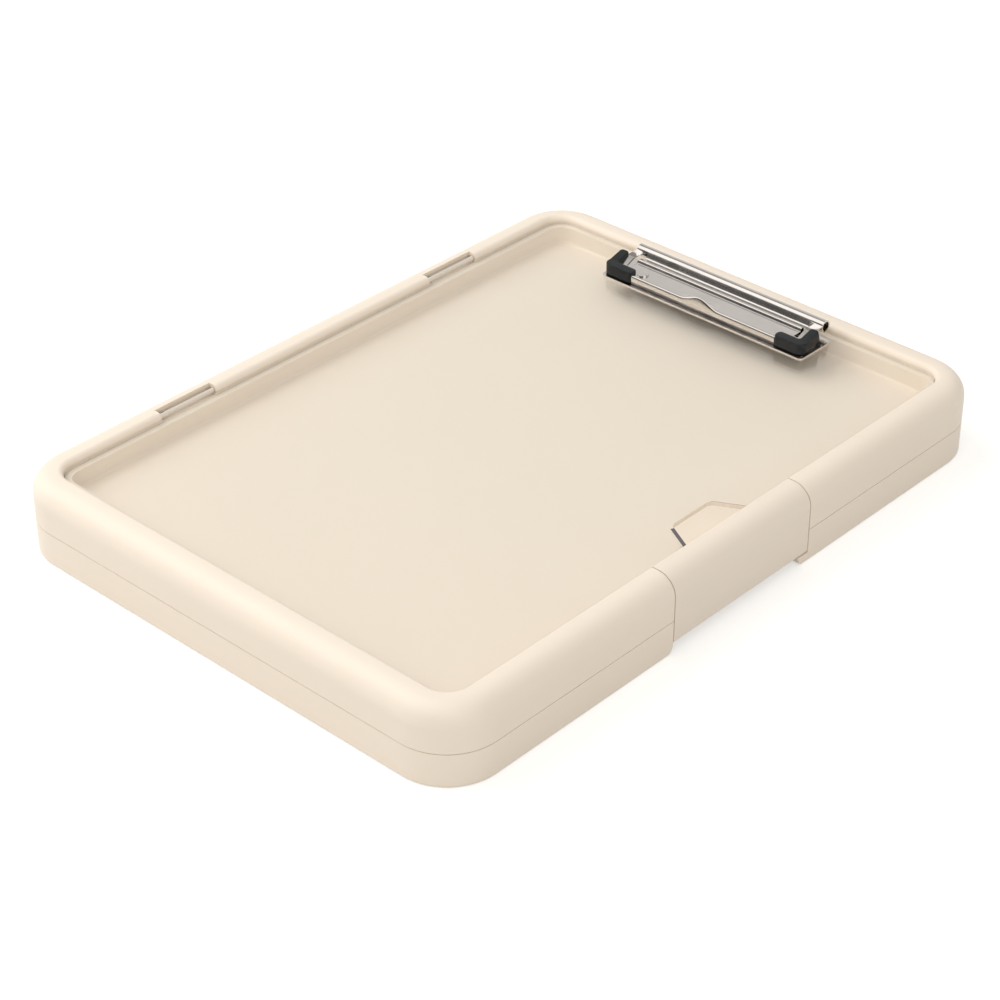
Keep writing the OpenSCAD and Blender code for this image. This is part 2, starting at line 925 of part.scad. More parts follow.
// plan of the front arm with its rounded inner end
module cap_front_plan() {
    translate([cap_inner + cap_end_radius, cap_front])
        square([cap_outer - cap_inner - cap_end_radius, cap_front_width]);
    translate([cap_inner, cap_front + cap_end_radius])
        square([2 * cap_end_radius, cap_front_width - 2 * cap_end_radius]);
    for (y = [cap_front + cap_end_radius, cap_front + cap_front_width - cap_end_radius])
        translate([cap_inner + cap_end_radius, y])
            circle(cap_end_radius);
}

// side arm that rises with the strap inside it, in the Y-Z plane
module cap_side_section()
    polygon([
        [cap_front, lip_bottom],
        [cap_front, cap_top],
        [cap_front + cap_front_width, cap_top],
        [cap_rear, cap_top + cap_rise],
        [cap_rear + cap_slant, lip_bottom + cap_rise + cap_slant / 2],
        [cap_front + cap_front_width, lip_bottom]]);

module jaw_cap(side)
    color("#34383a")
        translate([clip_x, 0, 0])
            mirror([side < 0 ? 1 : 0, 0, 0])
                difference() {
                    union() {
                        translate([0, 0, lip_bottom])
                            linear_extrude(cap_height)
                                cap_front_plan();
                        translate([cap_outer - cap_side_width / 2, 0, 0])
                            along_x(cap_side_width)
                                cap_side_section();
                    }
                    translate([cap_outer - cap_corner, cap_front + cap_corner,
                        lip_bottom - cut])
                        linear_extrude(cap_height + 2 * cut)
                            mirror([0, 1])
                                edge_corner(cap_corner);
                    jaw_strap(running_clearance);
                }

module jaw_cap_left() jaw_cap(-1);

module jaw_cap_right() jaw_cap(1);

module rivet(side)
    color("#b9bcc0")
        translate([clip_x + side * rivet_offset, rivet_y, 0]) {
            translate([0, 0, lid_bottom - washer_thickness])
                cylinder(h = base_top - lid_bottom + washer_thickness, r = rivet_radius);
            translate([0, 0, base_top])
                cylinder(h = rivet_head_height, r1 = rivet_head_radius,
                    r2 = rivet_head_radius - rivet_head_height);
            translate([0, 0, lid_bottom - washer_thickness - rivet_head_height])
                cylinder(h = rivet_head_height,
                    r1 = rivet_head_radius - rivet_head_height,
                    r2 = rivet_head_radius);
        }

module rivet_left() rivet(-1);

module rivet_right() rivet(1);

module rivet_washer(side)
    color("#c4c7ca")
        translate([clip_x + side * rivet_offset, rivet_y,
            lid_bottom - washer_thickness])
            difference() {
                cylinder(h = washer_thickness, r = washer_radius);
                translate([0, 0, -cut])
                    cylinder(h = washer_thickness + 2 * cut,
                        r = rivet_radius + running_clearance);
            }

module rivet_washer_left() rivet_washer(-1);

module rivet_washer_right() rivet_washer(1);

// ---------- nodes ----------

lower_shell();
upper_shell();
hinge_pin_front();
hinge_pin_rear();
lid_panel();
lid_pin_front_outer();
lid_pin_front_inner();
lid_pin_rear_inner();
lid_pin_rear_outer();
latch();
latch_pin();
clip_base();
clip_jaw();
clip_axle();
clip_spring();
jaw_cap_left();
jaw_cap_right();
rivet_left();
rivet_right();
rivet_washer_left();
rivet_washer_right();
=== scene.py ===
"""Dresses a storage clipboard box: two cream shells, a clear writing lid, a side
latch and a low-profile spring clip, with a plain pale stage and a camera."""

import math

import bmesh
import bpy
from mathutils import Matrix, Vector


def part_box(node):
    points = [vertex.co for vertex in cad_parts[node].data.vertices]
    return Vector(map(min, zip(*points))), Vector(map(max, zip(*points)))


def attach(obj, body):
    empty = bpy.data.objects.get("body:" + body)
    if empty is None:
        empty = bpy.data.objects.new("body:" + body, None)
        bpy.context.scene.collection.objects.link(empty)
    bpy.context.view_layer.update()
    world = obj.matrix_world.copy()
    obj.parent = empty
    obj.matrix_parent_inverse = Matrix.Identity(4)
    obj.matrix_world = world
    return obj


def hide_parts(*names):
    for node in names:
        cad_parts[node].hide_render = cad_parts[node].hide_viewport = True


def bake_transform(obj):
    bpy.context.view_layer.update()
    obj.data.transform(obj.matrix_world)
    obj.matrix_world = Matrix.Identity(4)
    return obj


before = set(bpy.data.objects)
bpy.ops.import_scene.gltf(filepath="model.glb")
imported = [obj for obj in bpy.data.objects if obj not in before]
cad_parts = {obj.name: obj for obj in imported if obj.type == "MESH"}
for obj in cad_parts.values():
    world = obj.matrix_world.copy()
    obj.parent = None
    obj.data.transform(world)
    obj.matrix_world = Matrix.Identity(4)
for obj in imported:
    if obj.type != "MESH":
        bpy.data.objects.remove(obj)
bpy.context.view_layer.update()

bl_info = {
    "name": "Storage clipboard box",
    "version": (1, 0, 0),
    "blender": (4, 5, 0),
    "location": "View3D > Sidebar > Clipboard box",
    "description": "Finishes for a storage clipboard box, and a stage to show it on",
    "category": "Object",
}

MM = 0.001
SHELL_NODES = ("lower_shell", "upper_shell")
PIN_NODES = (
    "hinge_pin_front",
    "hinge_pin_rear",
    "lid_pin_front_outer",
    "lid_pin_front_inner",
    "lid_pin_rear_inner",
    "lid_pin_rear_outer",
    "latch_pin",
    "clip_axle",
)
RIVET_NODES = ("rivet_left", "rivet_right", "rivet_washer_left", "rivet_washer_right")
CAP_NODES = {"jaw_cap_left": -1, "jaw_cap_right": 1}

# Lengths, in metres, below which two points or heights count as one.
MERGE_WITHIN = 0.001 * MM
CUT_WITHIN = 0.0001 * MM
LEVEL_WITHIN = 0.1 * MM
# Parts of a unit normal: above the first a face lies flat, above the second it
# faces that way, and the last two tell a top from the side it meets.
LIES_FLAT = 0.9
FACES_THAT_WAY = 0.5
TOP_TILT = 0.6
SIDE_TILT = 0.55
SHARP_FROM = math.radians(38)

# Material slots of the writing lid. The last holds painted shade for the notch's ends.
SHEET, CUT_EDGE, NOTCH_SHADE = range(3)
# No edge of the finger notch is this far from the middle of the lid's side.
NOTCH_SPAN = 30 * MM

# What bright metal mirrors of the studio, from its near end to its far end, and
# how much brighter than the bands' own levels that is.
MIRRORED_GAIN = 1.4
STUDIO_BANDS = (
    (0.0, 0.06),
    (0.165, 0.06),
    (0.205, 0.95),
    (0.54, 0.95),
    (0.57, 0.2),
    (0.70, 0.2),
    (0.74, 0.47),
    (1.0, 0.55),
)
WARM_SKY = (1.0, 0.985, 0.955, 1)
WHITE = (1.0, 1.0, 1.0, 1)
# The floor's own colour, how far it is lifted to white, and half its width.
FLOOR_COLOUR = (0.70, 0.69, 0.665, 1)
FLOOR_LIFT = 0.50
FLOOR_HALF = 20
# Where the lamps stand and how wide they are, in metres.
KEY_LAMP_PLACE, KEY_LAMP_SIZE = (-0.88, -0.36, 1.05), 1.5
FILL_LAMP_PLACE, FILL_LAMP_SIZE = (1.05, -1.15, 1.35), 2.0
# The camera's sensor, in millimetres, and the nearest thing it sees, in metres.
SENSOR_WIDTH = 36
CAMERA_CLIP_START = 0.01


# ---------- finishes ----------


class Flow:
    """An output of a node. Arithmetic on it adds the Math nodes."""

    def __init__(self, finish, socket):
        self.finish = finish
        self.socket = socket

    def maths(self, operation, first, second, clamp=False):
        return self.finish.node(
            "ShaderNodeMath",
            {"operation": operation, "use_clamp": clamp},
            {0: first, 1: second},
        )

    def __add__(self, other):
        return self.maths("ADD", self, other)

    def __sub__(self, other):
        return self.maths("SUBTRACT", self, other)

    def __mul__(self, other):
        return self.maths("MULTIPLY", self, other)

    def clamped(self):
        """The output, kept between 0 and 1."""
        return self.maths("ADD", self, 0.0, clamp=True)


class Finish:
    """A material or world being put together, one node at a time."""

    def __init__(self, holder):
        holder.use_nodes = True
        self.holder = holder
        self.tree = holder.node_tree
        self.tree.nodes.clear()

    def node(self, kind, settings=None, sockets=None, output=0):
        """Adds a node: its settings first, then its sockets' values or links. The
        setting "stops" gives a colour ramp its places and colours."""
        made = self.tree.nodes.new(kind)
        for name, value in (settings or {}).items():
            if name != "stops":
                setattr(made, name, value)
                continue
            stops = made.color_ramp.elements
            for index, (place, colour) in enumerate(value):
                stop = stops[index] if index < len(stops) else stops.new(place)
                stop.position = place
                stop.color = colour
        for name, value in (sockets or {}).items():
            if isinstance(value, Flow):
                self.tree.links.new(value.socket, made.inputs[name])
            elif value is not None:
                made.inputs[name].default_value = value
        return Flow(self, made.outputs[output]) if made.outputs else None

    def here(self):
        """The place on the piece, in metres."""
        return self.node("ShaderNodeTexCoord", output="Object")

    def ray(self, kind):
        """1 for one kind of ray, such as "Camera", and 0 for the others."""
        return self.node("ShaderNodeLightPath", output=f"Is {kind} Ray")

    def noise(self, scale, detail, roughness, stretch=(1, 1, 1), shift=(0, 0, 0)):
        """Even noise about 0.5, its grain a metre divided by scale."""
        place = self.node(
            "ShaderNodeMapping",
            {"vector_type": "POINT"},
            {"Vector": self.here(), "Scale": stretch, "Location": shift},
        )
        return self.node(
            "ShaderNodeTexNoise",
            {"noise_dimensions": "3D"},
            {"Vector": place, "Scale": scale, "Detail": detail, "Roughness": roughness},
        )

    def blend(self, amount, first, second):
        """The first colour where the amount is 0, and the second where it is 1."""
        return self.node(
            "ShaderNodeMix",
            {"data_type": "RGBA", "blend_type": "MIX"},
            {0: amount, 6: first, 7: second},
            output=2,
        )

    def bump(self, height, distance, strength, under=None):
        """A normal for relief of this distance in metres, over another bump."""
        return self.node(
            "ShaderNodeBump",
            None,
            {
                "Height": height,
                "Distance": distance,
                "Strength": strength,
                "Normal": under,
            },
        )

    def principled(self, **sockets):
        named = {name.replace("_", " "): value for name, value in sockets.items()}
        return self.node("ShaderNodeBsdfPrincipled", None, named, output="BSDF")

    def show(self, shader):
        """Sends a shader to the output."""
        kind = "World" if isinstance(self.holder, bpy.types.World) else "Material"
        self.node("ShaderNodeOutput" + kind, None, {"Surface": shader})


def new_finish(name):
    return Finish(bpy.data.materials.new(name))


def tone(colour, factor):
    """The colour made darker or lighter, as a socket value."""
    return tuple(min(1.0, part * factor) for part in colour[:3]) + (1.0,)


def moulded_plastic(name, colour, shift, grain_depth, roughness=0.42):
    """Satin moulded plastic: faint flow shading, a fine spark-eroded grain and
    patches where handling has polished it."""
    finish = new_finish(name)
    flow = finish.noise(9, 3, 0.6, shift=shift)
    speckle = finish.noise(900, 2, 0.7, shift=shift)
    handled = finish.noise(26, 4, 0.6, shift=(shift[1], shift[2], shift[0]))
    grain = finish.noise(2300, 2, 0.5, shift=shift)
    sink = finish.noise(14, 1, 0.4, shift=shift)
    body = finish.blend(
        (flow - 0.35).clamped() * 1.6, tone(colour, 0.985), tone(colour, 1.012)
    )
    body = finish.blend((speckle - 0.55).clamped() * 0.35, body, tone(colour, 0.94))
    waves = finish.bump(sink, 0.6 * MM, 0.35)
    finish.show(
        finish.principled(
            Base_Color=body,
            Roughness=(handled - 0.5) * 0.16 + (speckle - 0.5) * 0.06 + roughness,
            Normal=finish.bump(grain, grain_depth, 0.5, waves),
            IOR=1.5,
            Specular_IOR_Level=0.42,
        )
    )
    return finish.holder


def clear_plastic(name, colour):
    """Clear polystyrene sheet with faint rubbing marks; lamps shine through it."""
    finish = new_finish(name)
    rubs = finish.noise(60, 5, 0.7, stretch=(1, 6, 1))
    haze = finish.noise(7, 2, 0.5)
    glass = finish.principled(
        Base_Color=colour,
        Roughness=(rubs - 0.62).clamped() * 0.35 + haze * 0.012 + 0.006,
        IOR=1.46,
        Transmission_Weight=1.0,
    )
    lit = (finish.ray("Shadow") + finish.ray("Diffuse")).clamped()
    through = finish.node(
        "ShaderNodeBsdfTransparent", None, {"Color": (0.96, 0.96, 0.95, 1)}
    )
    sheet = finish.node("ShaderNodeMixShader", None, {0: lit, 1: glass, 2: through})
    finish.show(sheet)
    return finish.holder


def edge_plastic(name, colour, roughness):
    """Edge of the clear sheet, painted an opaque colour that stands for the case and
    the shade seen in the clear edge, with milling marks.
    """
    finish = new_finish(name)
    marks = finish.noise(420, 3, 0.6, stretch=(1, 1, 0.1))
    body = finish.blend((marks - 0.4).clamped(), tone(colour, 1.0), tone(colour, 0.9))
    finish.show(
        finish.principled(
            Base_Color=body,
            Roughness=(marks - 0.5) * 0.3 + roughness,
            Normal=finish.bump(marks, 0.03 * MM, 0.4),
            IOR=1.49,
        )
    )
    return finish.holder


def plated_metal(name, colour, brushed, roughness, wave=0.3):
    """Bright plating over drawn sheet: fine lines along it, soft waves, small pits
    and duller rubbed patches."""
    finish = new_finish(name)
    lines = finish.noise(700, 3, 0.6, stretch=brushed)
    patches = finish.noise(55, 3, 0.6)
    sheet = finish.noise(95, 2, 0.5)
    pits = finish.noise(1600, 2, 0.6)
    body = finish.blend(
        (patches - 0.4).clamped() * 1.5, tone(colour, 1.0), tone(colour, 0.9)
    )
    body = finish.blend((pits - 0.66).clamped() * 2.4, body, tone(colour, 0.55))
    waves = finish.bump(sheet, 0.4 * MM, wave)
    finish.show(
        finish.principled(
            Base_Color=body,
            Metallic=1.0,
            Roughness=(lines - 0.5) * 0.16 + (patches - 0.5) * 0.1 + roughness,
            Normal=finish.bump(lines, 0.04 * MM, 0.5, waves),
        )
    )
    return finish.holder


def moulded_rubber(name, colour):
    """Soft black plastic with a dull skin, lighter where it is rubbed."""
    finish = new_finish(name)
    skin = finish.noise(1400, 3, 0.6)
    scuffs = finish.noise(240, 4, 0.7, stretch=(1, 3, 1))
    body = finish.blend(
        (scuffs - 0.5).clamped() * 1.2, tone(colour, 1.0), tone(colour, 2.4)
    )
    finish.show(
        finish.principled(
            Base_Color=body,
            Roughness=(scuffs - 0.5) * 0.3 + 0.46,
            Normal=finish.bump(skin, 0.06 * MM, 0.5),
            Specular_IOR_Level=0.3,
        )
    )
    return finish.holder


def dress(piece, material):
    """Puts one finish on every face of a piece."""
    if not piece.material_slots:
        piece.data.materials.append(material)
    for place in piece.material_slots:
        place.material = material


# ---------- forms ----------


def own_piece(name, form, body, slot_name, stands_for, *materials):
    """Makes an object of a finished form, rides it on its body, if it has just
    one, and hides the nodes that it stands for."""
    mesh = bpy.data.meshes.new(name)
    form.to_mesh(mesh)
    form.free()
    piece = bpy.data.objects.new(name, mesh)
    bpy.context.scene.collection.objects.link(piece)
    for material in materials:
        piece.data.materials.append(material)
    if body:
        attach(piece, body)
    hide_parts(*stands_for)
    return piece


def only(kind, parts):
    """The vertices, edges or faces among the parts of a form."""
    return [part for part in parts if isinstance(part, kind)]


def merged_copy(node):
    """A form of a node's own surface, its flat faces joined up again."""
    form = bmesh.new()
    form.from_mesh(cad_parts[node].data)
    bmesh.ops.remove_doubles(form, verts=form.verts, dist=MERGE_WITHIN)
    bmesh.ops.dissolve_limit(
        form, angle_limit=math.radians(0.3), verts=form.verts, edges=form.edges
    )
    return form


def keep_side(form, place, facing):
    """Cuts a form with a plane, closes the cut and keeps what the plane faces. A
    face that lay in the plane and is left alone goes too."""
    cut = bmesh.ops.bisect_plane(
        form,
        geom=form.verts[:] + form.edges[:] + form.faces[:],
        dist=CUT_WITHIN,
        plane_co=place,
        plane_no=facing,
        clear_inner=True,
    )
    edges = only(bmesh.types.BMEdge, cut["geom_cut"])
    bmesh.ops.holes_fill(form, edges=edges, sides=0)
    loose = [
        face for face in form.faces if all(edge.is_boundary for edge in face.edges)
    ]
    bmesh.ops.delete(form, geom=loose, context="FACES")


class SheetBend:
    """A line of sheet metal seen from its end, drawn one bend at a time in the
    Y-Z plane, and then pulled out along X."""

    def __init__(self, form, x, y, z, heading):
        self.form = form
        self.tip = bmesh.ops.create_vert(form, co=(x, y, z))["vert"][0]
        self.heading = heading

    def ahead(self, length, steps=1):
        """Draws the line straight on."""
        step = Vector((0, math.cos(self.heading), math.sin(self.heading)))
        step = step * length / steps
        for _ in range(steps):
            grown = bmesh.ops.extrude_vert_indiv(self.form, verts=[self.tip])
            self.tip = grown["verts"][0]
            self.tip.co += step
        return self

    def bend(self, radius, turn, steps):
        """Draws the line round a bend. A positive turn lifts a line that runs to
        the rear, and a negative one lowers it."""
        aside = self.heading + math.copysign(math.pi / 2, turn)
        centre = self.tip.co + radius * Vector((0, math.cos(aside), math.sin(aside)))
        swept = bmesh.ops.spin(
            self.form,
            geom=[self.tip],
            cent=centre,
            axis=(1, 0, 0),
            angle=turn,
            steps=steps,
            use_duplicate=False,
        )
        self.tip = only(bmesh.types.BMVert, swept["geom_last"])[0]
        self.heading += turn
        return self


def round_edges(form, edges, radius, segments):
    """Rounds edges and returns the new faces."""
    return bmesh.ops.bevel(
        form,
        geom=edges,
        offset=radius,
        offset_type="OFFSET",
        affect="EDGES",
        segments=segments,
        profile=0.5,
        material=-1,
        clamp_overlap=True,
    )["faces"]


def upright_edges(form, x, y):
    """Upright edges of a form that stand at one place. Their Y may be a little off,
    because a cap's rear end slants."""
    return [
        edge
        for edge in form.edges
        if abs(edge.verts[0].co.z - edge.verts[1].co.z) > MM
        and all(abs(vert.co.x - x) < LEVEL_WITHIN / 2 for vert in edge.verts)
        and all(abs(vert.co.y - y) < 2 * MM for vert in edge.verts)
    ]


def rim_edges(form, upward):
    """Edges where a top face, or a bottom face, meets a side."""
    found = []
    for edge in form.edges:
        if len(edge.link_faces) == 2:
            tilts = sorted(face.normal.z * upward for face in edge.link_faces)
            if tilts[1] > TOP_TILT and tilts[0] < SIDE_TILT:
                found.append(edge)
    return found


# ---------- settings ----------


class CaseSettings(bpy.types.PropertyGroup):
    colour: bpy.props.FloatVectorProperty(
        name="Case colour",
        description="Colour of both shells",
        default=(0.905, 0.797, 0.675),
        size=3,
        subtype="COLOR",
        min=0,
        max=1,
    )
    latch_colour: bpy.props.FloatVectorProperty(
        name="Latch colour",
        description="Colour of the latch strip",
        default=(0.885, 0.78, 0.665),
        size=3,
        subtype="COLOR",
        min=0,
        max=1,
    )
    grain: bpy.props.FloatProperty(
        name="Grain depth",
        description="Depth of the moulded grain",
        default=0.00004,
        min=0,
        max=0.0005,
        precision=6,
        unit="LENGTH",
    )


class LidSettings(bpy.types.PropertyGroup):
    tint: bpy.props.FloatVectorProperty(
        name="Lid tint",
        description="Tint of the clear lid",
        default=(0.985, 0.985, 0.975),
        size=3,
        subtype="COLOR",
        min=0,
        max=1,
    )
    # Painted shade and reflection: the opaque pale tan on the lid's cut edges stands
    # for the cream case and the shade at the rim seen in the clear edge.
    painted_edge_colour: bpy.props.FloatVectorProperty(
        name="Lid edge painted shade",
        description="Colour of the cut edge of the lid",
        default=(0.80, 0.73, 0.64),
        size=3,
        subtype="COLOR",
        min=0,
        max=1,
    )
    # Painted shade: the near-black on the notch's slanting ends, and on the band beside
    # its near end, stands for the shade seen in the clear sheet there.
    notch_shade_colour: bpy.props.FloatVectorProperty(
        name="Notch end painted shade",
        description="Colour of the slanting ends of the finger notch",
        default=(0.13, 0.11, 0.12),
        size=3,
        subtype="COLOR",
        min=0,
        max=1,
    )
    notch_shade_band: bpy.props.FloatProperty(
        name="Notch band",
        description="Width of the dark band beside the notch's near end",
        default=0.0017,
        min=0.0002,
        unit="LENGTH",
    )
    notch_rounding: bpy.props.FloatProperty(
        name="Notch rounding",
        description="Rounding of the upper edges at the notch's ends",
        default=0.0001,
        min=0.00002,
        max=0.0001,
        unit="LENGTH",
    )
    notch_from: bpy.props.FloatProperty(
        name="Notch from",
        description="Distance from the middle of the case to the notch",
        default=0.095,
        unit="LENGTH",
    )


class ClipSettings(bpy.types.PropertyGroup):
    plating: bpy.props.FloatVectorProperty(
        name="Plating colour",
        description="Colour of the plated clip",
        default=(0.76, 0.72, 0.69),
        size=3,
        subtype="COLOR",
        min=0,
        max=1,
    )
    steel: bpy.props.FloatVectorProperty(
        name="Steel colour",
        description="Colour of the pins, spring and rivets",
        default=(0.56, 0.56, 0.57),
        size=3,
        subtype="COLOR",
        min=0,
        max=1,
    )
    cap_colour: bpy.props.FloatVectorProperty(
        name="Cap colour",
        description="Colour of the jaw caps",
        default=(0.015, 0.0165, 0.018),
        size=3,
        subtype="COLOR",
        min=0,
        max=1,
    )
    plate_half: bpy.props.FloatProperty(
        name="Plate half width",
        description="Half the width of the jaw plate between its side straps",
        default=0.0475,
        unit="LENGTH",
    )
    lip_half: bpy.props.FloatProperty(
        name="Lip half width",
        description="Half the width of the jaw's folded lip",
        default=0.0414,
        unit="LENGTH",
    )
    lip_height: bpy.props.FloatProperty(
        name="Lip height",
        description="Height of the jaw's folded lip",
        default=0.0040,
        unit="LENGTH",
    )
    lip_bend: bpy.props.FloatProperty(
        name="Lip bend",
        description="Outer radius of the fold above the lip",
        default=0.0010,
        unit="LENGTH",
    )
    sheet: bpy.props.FloatProperty(
        name="Jaw sheet",
        description="Thickness of the jaw's sheet metal",
        default=0.0007,
        unit="LENGTH",
    )
    ridge_back: bpy.props.FloatProperty(
        name="Ridge setback",
        description="Distance from the lip to the ridge",
        default=0.01285,
        unit="LENGTH",
    )
    ridge_height: bpy.props.FloatProperty(
        name="Ridge height",
        description="Height of the ridge above the plate",
        default=0.0016,
        unit="LENGTH",
    )
    ridge_radius: bpy.props.FloatProperty(
        name="Ridge radius",
        description="Radius of the top of the ridge",
        default=0.00095,
        unit="LENGTH",
    )
    slope: bpy.props.FloatProperty(
        name="Lever slope",
        description="Slope of the sheet as it climbs to the rolled lever",
        default=math.radians(57),
        subtype="ANGLE",
    )
    roll_radius: bpy.props.FloatProperty(
        name="Roll radius",
        description="Outer radius of the rolled lever",
        default=0.0029,
        unit="LENGTH",
    )
    arch_shift: bpy.props.FloatProperty(
        name="Arch shift",
        description="Distance of the arch from the middle of the jaw",
        default=-0.0021,
        unit="LENGTH",
    )
    arch_half: bpy.props.FloatProperty(
        name="Arch half width",
        description="Half the width of the arch in the lip",
        default=0.0115,
        unit="LENGTH",
    )
    arch_height: bpy.props.FloatProperty(
        name="Arch height",
        description="Rise of the arch above the plate",
        default=0.0030,
        unit="LENGTH",
    )
    arch_run: bpy.props.FloatProperty(
        name="Arch run",
        description="Distance over which the arch falls back to the plate",
        default=0.0030,
        unit="LENGTH",
    )
    stations: bpy.props.IntProperty(
        name="Jaw stations",
        description="Number of cuts across the jaw plate",
        default=95,
        min=20,
        max=200,
    )
    stamp_radius: bpy.props.FloatProperty(
        name="Stamp radius",
        description="Radius of the raised stamp on the plate",
        default=0.0028,
        unit="LENGTH",
    )
    stamp_height: bpy.props.FloatProperty(
        name="Stamp height",
        description="Height of the raised stamp",
        default=0.0009,
        unit="LENGTH",
    )
    stamp_side: bpy.props.FloatProperty(
        name="Stamp side distance",
        description="Distance of the stamp from the middle of the jaw",
        default=0.0383,
        unit="LENGTH",
    )
    stamp_back: bpy.props.FloatProperty(
        name="Stamp setback",
        description="Distance from the lip to the stamp",
        default=0.0046,
        unit="LENGTH",
    )
    cap_front_width: bpy.props.FloatProperty(
        name="Cap front width",
        description="Width of a cap's front arm",
        default=0.005,
        unit="LENGTH",
    )
    left_overhang: bpy.props.FloatProperty(
        name="Left cap overhang",
        description="How much further out the left cap stands",
        default=0.0010,
        unit="LENGTH",
    )
    cap_side_width: bpy.props.FloatProperty(
        name="Cap side width",
        description="Width of a cap's side arm",
        default=0.0047,
        unit="LENGTH",
    )
    cap_slant: bpy.props.FloatProperty(
        name="Cap slant",
        description="How far the foot of a cap's rear end stands behind its top",
        default=0.0014,
        unit="LENGTH",
    )
    cap_rise: bpy.props.FloatProperty(
        name="Cap rise",
        description="Rise of a cap from its front arm to its rear end",
        default=0.0022,
        unit="LENGTH",
    )
    cap_corner: bpy.props.FloatProperty(
        name="Cap corner radius",
        description="Radius of a cap's outer front corner",
        default=0.0036,
        unit="LENGTH",
    )
    cap_end_radius: bpy.props.FloatProperty(
        name="Cap end radius",
        description="Radius of the corners at the ends of a cap's arms",
        default=0.0020,
        unit="LENGTH",
    )
    cap_rounding: bpy.props.FloatProperty(
        name="Cap edge rounding",
        description="Rounding of a cap's upper edges",
        default=0.0012,
        unit="LENGTH",
    )
    spring_turn_reach: bpy.props.FloatProperty(
        name="Spring turn reach",
        description="Height above and below the axle within which the wire turns",
        default=0.0006,
        min=0.0001,
        unit="LENGTH",
    )


class StageSettings(bpy.types.PropertyGroup):
    camera_azimuth: bpy.props.FloatProperty(
        name="Camera azimuth",
        description="Direction of the camera around the case",
        default=math.radians(42.731),
        subtype="ANGLE",
    )
    camera_elevation: bpy.props.FloatProperty(
        name="Camera elevation",
        description="Height of the camera above the floor, as an angle",
        default=math.radians(33.382),
        subtype="ANGLE",
    )
    camera_distance: bpy.props.FloatProperty(
        name="Camera distance",
        description="Distance from the camera to what it looks at",
        default=1.135917,
        unit="LENGTH",
    )
    camera_target: bpy.props.FloatVectorProperty(
        name="Camera target",
        description="Point that the camera looks at",
        default=(0.001129, -0.008593, 0.0),
        size=3,
        subtype="TRANSLATION",
        unit="LENGTH",
    )
    lens: bpy.props.FloatProperty(
        name="Lens",
        description="Focal length on a 36 mm wide sensor",
        default=95.367,
        unit="CAMERA",
    )
    key_power: bpy.props.FloatProperty(
        name="Key lamp",
        description="Power of the large lamp above the left side",
        default=12.0,
        unit="POWER",
    )
    fill_power: bpy.props.FloatProperty(
        name="Fill lamp",
        description="Power of the wide lamp near the camera",
        default=10.5,
        unit="POWER",
    )
    sky_strength: bpy.props.FloatProperty(
        name="Sky strength",
        description="Light from all round",
        default=0.60,
        min=0,
    )


# ---------- pieces ----------


class CLIPBOX_OT_shells(bpy.types.Operator):
    """Give both shells their satin cream plastic"""

    bl_idname = "clipbox.shells"
    bl_label = "Finish shells"

    def execute(self, context):
        case = context.scene.clipbox_case
        for number, node in enumerate(SHELL_NODES):
            name = "cream plastic " + node.split("_")[0]
            shift = (0.3 + number, 1.7 * number, 0.9)
            material = moulded_plastic(name, case.colour, shift, case.grain)
            dress(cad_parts[node], material)
        return {"FINISHED"}


class CLIPBOX_OT_latch(bpy.types.Operator):
    """Give the latch strip its plastic"""

    bl_idname = "clipbox.latch"
    bl_label = "Finish latch"

    def execute(self, context):
        case = context.scene.clipbox_case
        shift = (4.1, 2.3, 0.4)
        material = moulded_plastic(
            "latch plastic", case.latch_colour, shift, case.grain, roughness=0.36
        )
        dress(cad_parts["latch"], material)
        return {"FINISHED"}


